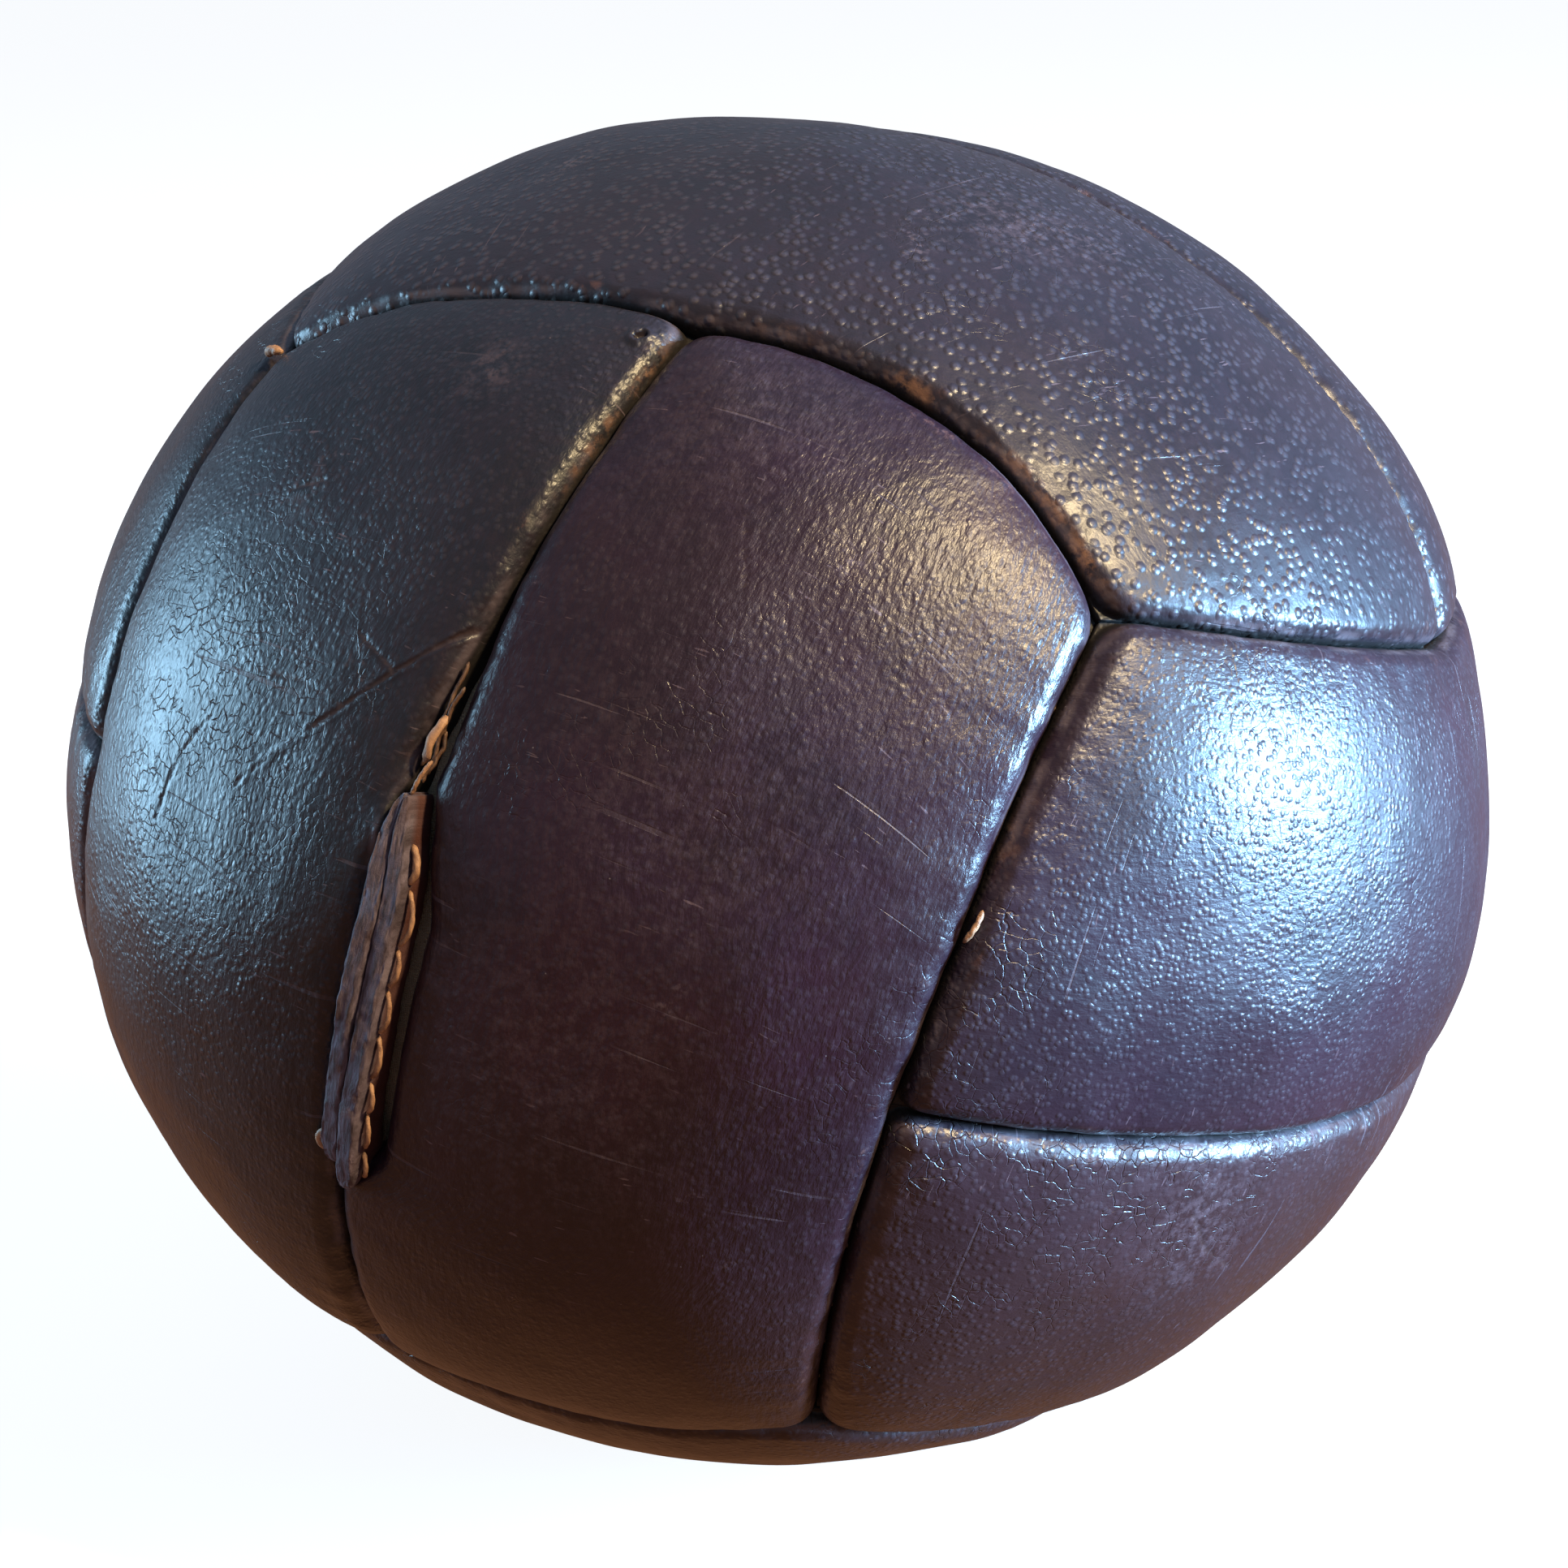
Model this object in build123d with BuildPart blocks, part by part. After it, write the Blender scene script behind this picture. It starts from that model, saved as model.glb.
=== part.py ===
from build123d import *
import os
from math import sqrt, sin, cos, pi, radians

os.makedirs("parts", exist_ok=True)

# ---- Driving dimensions, in mm and degrees ----
half_width = 133.0          # half of the ball's width when it has sagged
half_height = 125.0         # half of its height before the foot is pressed flat
sole_drop = 121.5           # from the ball's centre down to the flat worn foot
crown_flat = 3.0            # radius of the tiny flat at the very top
wall = 3.5                  # leather thickness
allowance = 8.0             # depth of the turned-in seam allowance below the outer skin
allowance_leaf = 2.4        # skived thickness of each turned-in edge
seam_gap = 0.1              # half of the line between two panels
shoulder = 3.4              # rounding of a panel's outer edge
wad_clear = 1.7             # room beside a turned-in edge for the sewing thread
liner_wall = 1.2            # canvas bag
fit_gap = 0.1               # room between the filling layers
thread_radius = 0.5
hole_radius = 0.55
stitch_pitch = 10.0
stitch_depth = 5.8          # below the outer skin, through both turned-in edges
stitch_margin = 7.0         # degrees kept free at the end of each sewn run
bow_steps = 4               # straight cuts that make up each curved half edge
knee_clear = 0.8            # degrees between a stitch and the knee of two cuts
stitch_clear = 0.3          # from a turned-in edge to the thread beside it
cone_low = 38.0             # how far from the ball's centre the panels' wedges start
cone_high = 142.0           # and where they stop, past the skin
touch = 0.02                # a rim edge lies this close to the skin

# How far the end of each panel pair runs into its neighbour, as a share of half a cube face
end_reach = 0.22
edge_bow = 1.6              # degrees that each half edge bulges towards that neighbour

# The ball's lie on the floor
tip_x = -17.0
tip_y = -9.4
turn_z = -118.5

# Closing seam in the front pair, measured along it from the level of the pair's middle
strip_top = 9.6
strip_end_left = -18.1
strip_end_right = -19.6
gape_top = 21.6
strip_thick = 3.7
strip_proud = 1.6
strip_foot_wide = 11.0
strip_foot_thick = 2.0
strip_groove = 1.5
foot_short = 1.0            # degrees that the foot stops short of the leaf's ends
slot_over_top = 0.5         # degrees of slot past the strips' ends
slot_over_end = 0.7
slot_lap = 1.0              # the two slots lap over the seam's middle line
gape_half = 1.7
gape_depth = 5.0
slab_reach = 160.0          # slabs run out past the skin
slab_cuts = 6
closing_pitch = 3.45        # degrees between closing stitches
closing_first = 1.6         # degrees from the strips' top to the first stitch
closing_last = 2.0          # degrees kept free at the strips' lower end
closing_depth = 0.6         # closing stitches sit this far below the skin
closing_slack = 0.05        # from a leaf's face to the thread on it
sewn_above_gape = 1.5       # degrees between the gape and the hidden sewing
sewn_below_strips = 3.0

centre = Vector(0, 0, sole_drop)


# ---- Seam pattern: a cube whose six faces are each split in two, set tumbled on the floor ----
def lie(x, y, z):
    """Turn a direction in the pattern to where it lies on the floor."""
    v = Vector(x, y, z).normalized()
    v = v.rotate(Axis.X, tip_x)
    v = v.rotate(Axis.Y, tip_y)
    return v.rotate(Axis.Z, turn_z)


corners = {}
for sx in (1, -1):
    for sy in (1, -1):
        for sz in (1, -1):
            corners[sx, sy, sz] = lie(sx, sy, sz)
# One corner was sewn short
corners[1, -1, 1] = lie(1.07, -1.08, 0.85)

ends = {}
for s in (1, -1):
    for t in (1, -1):
        ends["x", s, t] = lie(s * (1 - end_reach), 0, t)
        ends["y", s, t] = lie(t, s * (1 - end_reach), 0)
        ends["z", s, t] = lie(0, t, s * (1 - end_reach))
# Hand-sewn ends that wander from the pattern
ends["x", 1, 1] = lie(0.88, -0.02, 1)
ends["x", 1, -1] = lie(0.97, 0.01, -1)
ends["y", 1, 1] = lie(1, 0.75, 0)
ends["y", -1, 1] = lie(1, -0.75, -0.09)
ends["z", 1, 1] = lie(-0.06, 1, 0.68)

bows = {
    ("x", 1, 1, 1): 4.0,
    ("x", 1, 1, -1): 1.8,
    ("x", 1, -1, 1): 0.6,
    ("y", -1, 1, 1): 0.7,
    ("y", -1, 1, -1): 0.5,
}
face_axis = {"x": lie(1, 0, 0), "y": lie(0, 1, 0), "z": lie(0, 0, 1)}


def half_edge(kind, s, t, u):
    """Directions from a pair's end to one corner beside it, curved towards the neighbour."""
    start = ends[kind, s, t]
    if kind == "x":
        stop, toward = corners[s, u, t], face_axis["z"] * t
    elif kind == "y":
        stop, toward = corners[t, s, u], face_axis["x"] * t
    else:
        stop, toward = corners[u, t, s], face_axis["y"] * t
    across = start.cross(stop).normalized()
    if across.dot(toward) < 0:
        across = across * -1
    bow = radians(bows.get((kind, s, t, u), edge_bow))
    line = []
    for i in range(bow_steps + 1):
        f = i / bow_steps
        v = start * (1 - f) + stop * f
        line.append((v.normalized() + across * (bow * sin(pi * f))).normalized())
    return line


def panel_outline(kind, s, u):
    """Directions around one panel: end, corner, neighbour's end, corner, end."""
    if kind == "x":
        far = ("y", u, s)
        first, last = (1, u), (-1, u)
    elif kind == "y":
        far = ("z", u, s)
        first, last = (1, u), (-1, u)
    else:
        far = ("x", u, s)
        first, last = (1, u), (-1, u)
    top = half_edge(kind, s, first[0], first[1])
    far_first = half_edge(far[0], far[1], far[2], 1)
    far_last = half_edge(far[0], far[1], far[2], -1)
    bottom = half_edge(kind, s, last[0], last[1])
    ring = top + far_first[::-1][1:] + far_last[1:] + bottom[::-1][1:]
    middle = (ring[0] + ring[-1]).normalized()
    return ring + [middle]


def inset_ring(ring, axis, level, gap):
    """Corners of the panel's cone at one level, moved in by a constant gap."""
    sign = 1 if ring[0].cross(ring[1]).dot(axis) > 0 else -1
    normals = []
    for i in range(len(ring)):
        normals.append((ring[i].cross(ring[(i + 1) % len(ring)])).normalized() * sign)
    points = []
    for i in range(len(ring)):
        v = ring[i]
        before, after = normals[i - 1], normals[i]
        mitre = (before + after) * (gap / (1 + before.dot(after)))
        p = v * (level / axis.dot(v)) + mitre
        p = p + v * ((level - axis.dot(p)) / axis.dot(v))
        points.append(centre + p)
    return points


def cone(ring, gap):
    """Solid wedge from near the ball's centre out past the skin, inside the panel's seams."""
    axis = Vector(0, 0, 0)
    for v in ring:
        axis = axis + v
    axis = axis.normalized()
    wires = []
    for level in (cone_low, cone_high):
        wires.append(Wire.make_polygon(inset_ring(ring, axis, level, gap), close=True))
    return Solid.make_loft(wires, True)


def form(depth):
    """The whole ball's shape, a given depth below its outer skin, as one solid."""
    with BuildPart() as shape:
        with BuildSketch(Plane(origin=centre, x_dir=(1, 0, 0), z_dir=(0, -1, 0))):
            wide, tall = half_width - depth, half_height - depth
            Ellipse(wide, tall)
            crown = tall * sqrt(1 - (crown_flat / wide) ** 2)
            with Locations((0, depth - sole_drop)):
                Rectangle(2 * half_width, crown + sole_drop - depth, align=(Align.MIN, Align.MIN),
                          mode=Mode.INTERSECT)
        revolve(axis=Axis.Z)
    return shape.part


def on_form(v, depth):
    """Point on the ball's shape in a direction, a given depth below the skin."""
    a, c = half_width - depth, half_height - depth
    r = 1 / sqrt((v.X ** 2 + v.Y ** 2) / a ** 2 + v.Z ** 2 / c ** 2)
    if v.Z < 0:
        r = min(r, (sole_drop - depth) / -v.Z)
    return centre + v * r


def stitch_places(line, pitch):
    """Directions at equal steps along a seam, clear of the seam's ends."""
    radius = half_height - stitch_depth
    steps = [0.0]
    for a, b in zip(line, line[1:]):
        steps.append(steps[-1] + a.get_angle(b))
    usable = steps[-1] - 2 * stitch_margin
    count = max(2, int(radians(usable) * radius / pitch))
    places = []
    for i in range(count + 1):
        want = stitch_margin + usable * i / count
        for knee in steps:
            if abs(want - knee) < knee_clear:
                want = knee + knee_clear
        k = 0
        while k < len(line) - 2 and steps[k + 1] < want:
            k += 1
        f = (want - steps[k]) / (steps[k + 1] - steps[k])
        v = (line[k] * (1 - f) + line[k + 1] * f).normalized()
        places.append((v, line[k].cross(line[k + 1]).normalized()))
    return places


def middle_line(kind, s):
    """The seam up the middle of a pair."""
    upper, lower = ends[kind, s, 1], ends[kind, s, -1]
    return [upper, (upper + lower).normalized(), lower]


# ---- Closing seam: a slab around the middle line of the front pair ----
front_top = ends["x", 1, 1]
front_low = ends["x", 1, -1]
seam_across = front_low.cross(front_top).normalized()
if seam_across.dot(face_axis["y"]) < 0:
    seam_across = seam_across * -1
# Along the seam, zero where the pattern's front axis meets it
seam_zero = (face_axis["x"] - seam_across * face_axis["x"].dot(seam_across)).normalized()
seam_up = (front_top - seam_zero * front_top.dot(seam_zero)).normalized()


def along(angle):
    return seam_zero * cos(radians(angle)) + seam_up * sin(radians(angle))


def slab(low, high, side_from, side_to):
    """Sector slab beside the closing seam between two angles and two distances across it."""
    points = [centre]
    for i in range(slab_cuts + 1):
        points.append(centre + along(low + (high - low) * i / slab_cuts) * slab_reach)
    shifted = [p + seam_across * side_from for p in points]
    face = Face(Wire.make_polygon(shifted, close=True))
    return Solid.extrude(face, seam_across * (side_to - side_from))


skin = form(0)
under_wall = form(wall)
under_allowance = form(allowance)
proud_skin = form(-strip_proud)

slot_half = strip_thick + seam_gap + strip_groove
slot_top = strip_top + slot_over_top
slot = {
    -1: slab(strip_end_left - slot_over_end, slot_top, -slot_half, slot_lap),
    1: slab(strip_end_right - slot_over_end, slot_top, -slot_lap, slot_half),
}
gape = slab(strip_top, gape_top, -gape_half, gape_half) - form(gape_depth)

# Room behind the front pair's wall for the strips' feet and leaves
room_half = strip_foot_wide + slot_lap
strip_room = slab(strip_end_right - slot_over_end, slot_top, -room_half, room_half)

closing_holes = []
stitch_level = []
count = int((strip_top - strip_end_left - closing_last) / closing_pitch)
for i in range(count + 1):
    v = along(strip_top - closing_first - closing_pitch * i)
    stitch_level.append(v)
    closing_holes.append(Plane(origin=on_form(v, closing_depth), z_dir=seam_across))

# ---- Names of the twelve panels and the sewn runs between them ----
panel_names = {
    ("x", 1, -1): "panel_front_left", ("x", 1, 1): "panel_front_centre",
    ("y", 1, 1): "panel_right_upper", ("y", 1, -1): "panel_right_lower",
    ("z", 1, 1): "panel_top_front", ("z", 1, -1): "panel_top_back",
    ("y", -1, 1): "panel_left_upper", ("y", -1, -1): "panel_left_lower",
    ("x", -1, -1): "panel_back_left", ("x", -1, 1): "panel_back_right",
    ("z", -1, 1): "panel_base_front", ("z", -1, -1): "panel_base_back",
}
next_kind = {"x": "z", "y": "x", "z": "y"}
side_off = seam_gap + allowance_leaf + thread_radius + stitch_clear
face_words = {("x", 1): "front", ("y", 1): "right", ("z", 1): "top",
              ("y", -1): "left", ("z", -1): "base", ("x", -1): "back"}


def run_points(places):
    """A running stitch: through the two leaves, along, and back through."""
    points = []
    side = 1
    for v, across in places:
        p = on_form(v, stitch_depth)
        points.append(p + across * (side_off * side))
        side = -side
        points.append(p + across * (side_off * side))
    return points


threads = {}
for (kind, s), word in face_words.items():
    # Up the middle of each pair, left out where the front pair has its closing strips and gape
    places = stitch_places(middle_line(kind, s), stitch_pitch)
    runs = [places]
    if word == "front":
        upper, lower = [], []
        for v, across in places:
            angle = along(0).get_angle(v) * (1 if v.dot(seam_up) > 0 else -1)
            if angle > gape_top + sewn_above_gape:
                upper.append((v, across))
            if angle < strip_end_right - sewn_below_strips:
                lower.append((v, across))
        runs = [upper, lower]
    threads["thread_" + word + "_middle"] = runs
    for t in (1, -1):
        runs = [stitch_places(half_edge(kind, s, t, u), stitch_pitch) for u in (1, -1)]
        threads["thread_" + word + "_" + face_words[next_kind[kind], t]] = runs

# ---- Panels: rounded leather wall with its edges turned in for the sewing ----
pads = []
for key, name in panel_names.items():
    ring = panel_outline(key[0], key[1], key[2])
    outside = cone(ring, seam_gap)
    pocket = cone(ring, seam_gap + allowance_leaf) & under_wall
    with BuildPart() as panel:
        add(outside)
        add(skin, mode=Mode.INTERSECT)
        rim = []
        for edge in panel.edges():
            p = edge.position_at(0.5)
            v = (p - centre).normalized()
            on_skin = (p - on_form(v, 0)).length < touch
            sole_rim = abs(p.Z) < touch and edge.geom_type == GeomType.CIRCLE
            if on_skin and not sole_rim:
                rim.append(edge)
        fillet(rim, radius=shoulder)
        add(under_allowance, mode=Mode.SUBTRACT)
        add(pocket, mode=Mode.SUBTRACT)
        if key[0] == "x" and key[1] == 1:
            add(slot[key[2]], mode=Mode.SUBTRACT)
            add(gape, mode=Mode.SUBTRACT)
    panel.part.label = name
    export_step(panel.part, "parts/" + name + ".step")
    pad = (cone(ring, seam_gap + allowance_leaf + wad_clear) & form(wall + fit_gap)) - under_allowance
    if key[0] == "x" and key[1] == 1:
        pad = pad - strip_room
    pads.append(pad)

# ---- Closing strips: an upright leaf in the slot and a foot glued behind the panel ----
strip_shell = proud_skin - under_allowance
foot_shell = form(wall + fit_gap) - form(wall + fit_gap + strip_foot_thick)
strip_ends = {-1: strip_end_left, 1: strip_end_right}
strip_names = {-1: "closing_strip_left", 1: "closing_strip_right"}
for side, name in strip_names.items():
    near, far = seam_gap * side, (seam_gap + strip_thick) * side
    leaf = slab(strip_ends[side], strip_top, min(near, far), max(near, far))
    reach = (seam_gap + strip_foot_wide) * side
    foot_from, foot_to = strip_ends[side] + foot_short, strip_top - foot_short
    foot = slab(foot_from, foot_to, min(near, reach), max(near, reach))
    with BuildPart() as strip:
        add(leaf)
        add(strip_shell, mode=Mode.INTERSECT)
        add(foot & foot_shell)
        for place in closing_holes:
            with Locations(place):
                Cylinder(hole_radius, 4 * strip_thick, mode=Mode.SUBTRACT)
    strip.part.label = name
    export_step(strip.part, "parts/" + name + ".step")

# ---- Closing thread: both needles pass each hole, so a stitch lies on either side ----
lie_off = seam_gap + strip_thick + thread_radius + closing_slack
with BuildPart() as closing_thread:
    for side in (-1, 1):
        for i in range(len(stitch_level) - 1):
            a = on_form(stitch_level[i], closing_depth) + seam_across * (lie_off * side)
            b = on_form(stitch_level[i + 1], closing_depth) + seam_across * (lie_off * side)
            run = Plane(origin=a, z_dir=b - a)
            with Locations(run):
                Cylinder(thread_radius, (b - a).length, align=(Align.CENTER, Align.CENTER, Align.MIN))
    for place in closing_holes:
        with Locations(place):
            Cylinder(thread_radius, 2 * lie_off)
            with Locations((0, 0, lie_off), (0, 0, -lie_off)):
                Sphere(thread_radius)
closing_thread.part.label = "closing_thread"
export_step(closing_thread.part, "parts/closing_thread.step")

# ---- Hidden sewing: one node for each seam ----
for name, runs in threads.items():
    with BuildPart() as thread:
        for places in runs:
            points = run_points(places)
            with BuildLine() as path:
                Polyline(*points)
            with BuildSketch(Plane(origin=points[0], z_dir=points[1] - points[0])):
                Circle(thread_radius)
            sweep(path=path.wires()[0], transition=Transition.RIGHT)
    thread.part.label = name
    export_step(thread.part, "parts/" + name + ".step")

# ---- Filling: wadding behind each panel, a canvas bag and the packing inside it ----
with BuildPart() as wadding:
    for pad in pads:
        add(pad)
wadding.part.label = "wadding"
export_step(wadding.part, "parts/wadding.step")

bag_outside = form(allowance + fit_gap)
bag_inside = form(allowance + fit_gap + liner_wall)
with BuildPart() as liner_bag:
    add(bag_outside)
    add(bag_inside, mode=Mode.SUBTRACT)
liner_bag.part.label = "liner_bag"
export_step(liner_bag.part, "parts/liner_bag.step")

packed_shape = form(allowance + liner_wall + 2 * fit_gap)
with BuildPart() as stuffing:
    add(packed_shape)
stuffing.part.label = "stuffing"
export_step(stuffing.part, "parts/stuffing.step")
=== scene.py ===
import math

import bpy
import numpy as np
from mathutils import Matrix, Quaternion, Vector


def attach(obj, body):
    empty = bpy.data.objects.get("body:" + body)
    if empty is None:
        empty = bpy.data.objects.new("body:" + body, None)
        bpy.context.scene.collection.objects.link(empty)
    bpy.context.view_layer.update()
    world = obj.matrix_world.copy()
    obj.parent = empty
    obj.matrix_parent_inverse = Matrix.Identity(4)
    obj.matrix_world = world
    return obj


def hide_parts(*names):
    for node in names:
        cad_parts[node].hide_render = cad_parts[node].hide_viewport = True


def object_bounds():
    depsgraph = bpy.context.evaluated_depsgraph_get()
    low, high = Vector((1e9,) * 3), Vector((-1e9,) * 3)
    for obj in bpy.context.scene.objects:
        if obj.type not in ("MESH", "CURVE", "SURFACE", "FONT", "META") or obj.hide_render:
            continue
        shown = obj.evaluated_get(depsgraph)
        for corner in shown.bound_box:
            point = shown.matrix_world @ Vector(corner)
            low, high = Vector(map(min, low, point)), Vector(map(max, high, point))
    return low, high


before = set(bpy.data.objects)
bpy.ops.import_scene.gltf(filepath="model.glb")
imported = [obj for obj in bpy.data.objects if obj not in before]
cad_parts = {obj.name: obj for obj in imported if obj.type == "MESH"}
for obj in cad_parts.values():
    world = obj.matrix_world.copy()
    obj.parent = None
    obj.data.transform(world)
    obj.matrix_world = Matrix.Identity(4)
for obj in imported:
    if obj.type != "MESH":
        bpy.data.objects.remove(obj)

cad_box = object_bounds()

# ---- The ball's size, read from the frame; pattern work is done in millimetres ----
MM = 1000.0
low, high = cad_box
half_width = (high.x - low.x) / 2 * MM
full_height = (high.z - low.z) * MM
foot_press = 3.5                                  # how far the foot is pressed flat
foot_blend = 1.6                                  # how softly the flat foot runs into the round
half_height = (full_height + foot_press) / 2
centre = np.array([0.0, 0.0, half_height - foot_press])
mean_radius = (2 * half_width + half_height) / 3

# ---- Seam pattern: a cube whose faces are each split in two, tumbled on the floor ----
tip_x, tip_y, turn_z = -17.0, -9.4, -118.5        # degrees
end_reach = 0.22                                  # how far each middle seam falls short of the cube's edge
edge_bow = 1.6                                    # degrees


def turned(angle, axis):
    """Rotation matrix about one main axis."""
    c, s = math.cos(math.radians(angle)), math.sin(math.radians(angle))
    m = np.eye(3)
    i, j = [(1, 2), (2, 0), (0, 1)][axis]
    m[i, i], m[i, j], m[j, i], m[j, j] = c, -s, s, c
    return m


lie_matrix = turned(turn_z, 2) @ turned(tip_y, 1) @ turned(tip_x, 0)


def unit(v):
    """The same direction with length one."""
    v = np.asarray(v, float)
    return v / np.linalg.norm(v, axis=-1, keepdims=True)


def lie(x, y, z):
    """Direction of a point of the upright cube once the ball lies on the floor."""
    return lie_matrix @ unit((x, y, z))


corners = {(a, b, c): lie(a, b, c) for a in (1, -1) for b in (1, -1) for c in (1, -1)}
corners[1, -1, 1] = lie(1.07, -1.08, 0.85)
ends = {}
for s in (1, -1):
    for t in (1, -1):
        ends["x", s, t] = lie(s * (1 - end_reach), 0, t)
        ends["y", s, t] = lie(t, s * (1 - end_reach), 0)
        ends["z", s, t] = lie(0, t, s * (1 - end_reach))
ends["x", 1, 1] = lie(0.88, -0.02, 1)
ends["x", 1, -1] = lie(0.97, 0.01, -1)
ends["y", 1, 1] = lie(1, 0.75, 0)
ends["y", -1, 1] = lie(1, -0.75, -0.09)
ends["z", 1, 1] = lie(-0.06, 1, 0.68)
bows = {("x", 1, 1, 1): 4.0, ("x", 1, 1, -1): 1.8, ("x", 1, -1, 1): 0.6,
        ("y", -1, 1, 1): 0.7, ("y", -1, 1, -1): 0.5}
axes = {"x": lie(1, 0, 0), "y": lie(0, 1, 0), "z": lie(0, 0, 1)}
edge_steps = 40


def half_edge(kind, s, t, u):
    """Directions from a pair's end to the corner beside it."""
    start = ends[kind, s, t]
    if kind == "x":
        stop, toward = corners[s, u, t], axes["z"] * t
    elif kind == "y":
        stop, toward = corners[t, s, u], axes["x"] * t
    else:
        stop, toward = corners[u, t, s], axes["y"] * t
    across = unit(np.cross(start, stop))
    if across @ toward < 0:
        across = -across
    bow = math.radians(bows.get((kind, s, t, u), edge_bow))
    f = np.linspace(0, 1, edge_steps + 1)[:, None]
    line = unit(start * (1 - f) + stop * f)
    return unit(line + across * (bow * np.sin(np.pi * f)))


def panel_sides(kind, s, u):
    """The panel's middle seam, its long outer edge, and its two ends."""
    far = {"x": "y", "y": "z", "z": "x"}[kind]
    middle_from, middle_to = ends[kind, s, 1], ends[kind, s, -1]
    f = np.linspace(0, 1, 2 * edge_steps + 1)[:, None]
    middle = unit(middle_from * (1 - f) + middle_to * f)
    upper = half_edge(far, u, s, 1)
    lower = half_edge(far, u, s, -1)
    outer = np.vstack([upper[::-1], lower[1:]])
    return middle, outer, half_edge(kind, s, 1, u), half_edge(kind, s, -1, u)


# ---- Repeatable noise on a seeded lattice ----
lattice_size = 32
lattice = np.random.default_rng(11).uniform(-1, 1, (lattice_size,) * 3)


def noise(points, cell, shift=0.0):
    """Smooth noise between about -1 and 1, with lumps about one cell wide."""
    p = np.asarray(points) / cell + shift + 7.3
    i = np.floor(p).astype(int)
    f = p - i
    f = f * f * f * (f * (f * 6 - 15) + 10)
    total = 0.0
    for dx in (0, 1):
        for dy in (0, 1):
            for dz in (0, 1):
                weight = ((f[..., 0] if dx else 1 - f[..., 0])
                          * (f[..., 1] if dy else 1 - f[..., 1])
                          * (f[..., 2] if dz else 1 - f[..., 2]))
                k = (i + (dx, dy, dz)) % lattice_size
                total = total + weight * lattice[k[..., 0], k[..., 1], k[..., 2]]
    return total


def skin_radius(v):
    """Distance from the centre to the smooth ball's surface, with its foot pressed flat."""
    round_r = 1 / np.sqrt((v[..., 0] ** 2 + v[..., 1] ** 2) / half_width ** 2
                          + v[..., 2] ** 2 / half_height ** 2)
    down = np.maximum(-v[..., 2], 1e-6)
    foot_r = np.where(v[..., 2] < -0.3, centre[2] / down, 1e3)
    h = np.clip(0.5 + 0.5 * (foot_r - round_r) / foot_blend, 0, 1)
    return foot_r * (1 - h) + round_r * h - foot_blend * h * (1 - h)


# ---- The closing seam's own measure: angle along it, millimetres across it ----
closing_sides = {"panel_front_left": -1, "panel_front_centre": 1}
seam_across = unit(np.cross(ends["x", 1, -1], ends["x", 1, 1]))
if seam_across @ axes["y"] < 0:
    seam_across = -seam_across
seam_zero = unit(axes["x"] - seam_across * (axes["x"] @ seam_across))
seam_up = unit(ends["x", 1, 1] - seam_zero * (ends["x", 1, 1] @ seam_zero))
strip_top, gape_top = 8.8, 22.5                   # degrees up the seam
strip_end = {-1: -18.3, 1: -20.2}                 # the left leaf's foot and the right leaf's, in degrees
strip_thick, strip_lean = 3.5, 2.4
groove_wide = {-1: 0.30, 1: 1.7}                  # room between each leaf and its panel
# The left panel's edge curls up beside the strips' top: place and length in degrees, then lift and reach
lip_at, lip_long, lip_lift, lip_reach = 7.0, 2.8, 1.5, 3.0
# The centre panel dips towards the closing stitches, measured in the same way
dip_at, dip_long, dip_deep, dip_reach = -2.0, 12.0, 1.7, 7.0


def along(angle):
    """Direction at so many degrees up the closing seam."""
    a = np.radians(angle)
    return (np.cos(a)[..., None] * seam_zero + np.sin(a)[..., None] * seam_up
            if np.ndim(a) else seam_zero * math.cos(a) + seam_up * math.sin(a))


def seam_angle(v):
    """How many degrees up the closing seam a direction lies."""
    return np.degrees(np.arctan2(v @ seam_up, v @ seam_zero))


def step(x, start, stop):
    """Smooth ramp from 0 at start to 1 at stop."""
    f = np.clip((x - start) / (stop - start), 0, 1)
    return f * f * (3 - 2 * f)


def strip_shift(angle):
    """How far the pair of strips leans over to the right of the seam's line, in millimetres."""
    return strip_lean * step(-np.asarray(angle), -strip_top + 0.5, -strip_top + 8.0)


def seam_pull(v, side):
    """How far a front panel's middle edge stands back from the seam, in millimetres."""
    a = seam_angle(v)
    strips = step(a, strip_end[side] - 1.0, strip_end[side] + 4.2)
    strips = strips * step(-a, -strip_top - 1.5, -strip_top + 1.5)
    full = strip_thick + groove_wide[side] + side * strip_shift(a)
    taper = 0.62 + 0.38 * step(-a, -strip_top, -strip_top + 8)
    gape = step(a, strip_top - 2, strip_top + 1) * step(-a, -gape_top - 3, -gape_top + 8)
    ragged = 0.25 * noise(v * mean_radius, 3.0)
    return full * taper * strips + (1.5 + ragged) * gape * (1.15 if side < 0 else 0.75)


# ---- Panel patches ----
def resample(line, f):
    """Points at shares f of a line's length."""
    steps = np.concatenate([[0], np.cumsum(np.linalg.norm(np.diff(line, axis=0), axis=1))])
    want = np.asarray(f) * steps[-1]
    return unit(np.stack([np.interp(want, steps, line[:, k]) for k in range(3)], -1))


def crowded(count, pull):
    """Shares from 0 to 1 that crowd towards both ends."""
    f = np.linspace(0, 1, count)
    return f - pull * np.sin(2 * np.pi * f) / (2 * np.pi)


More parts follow.
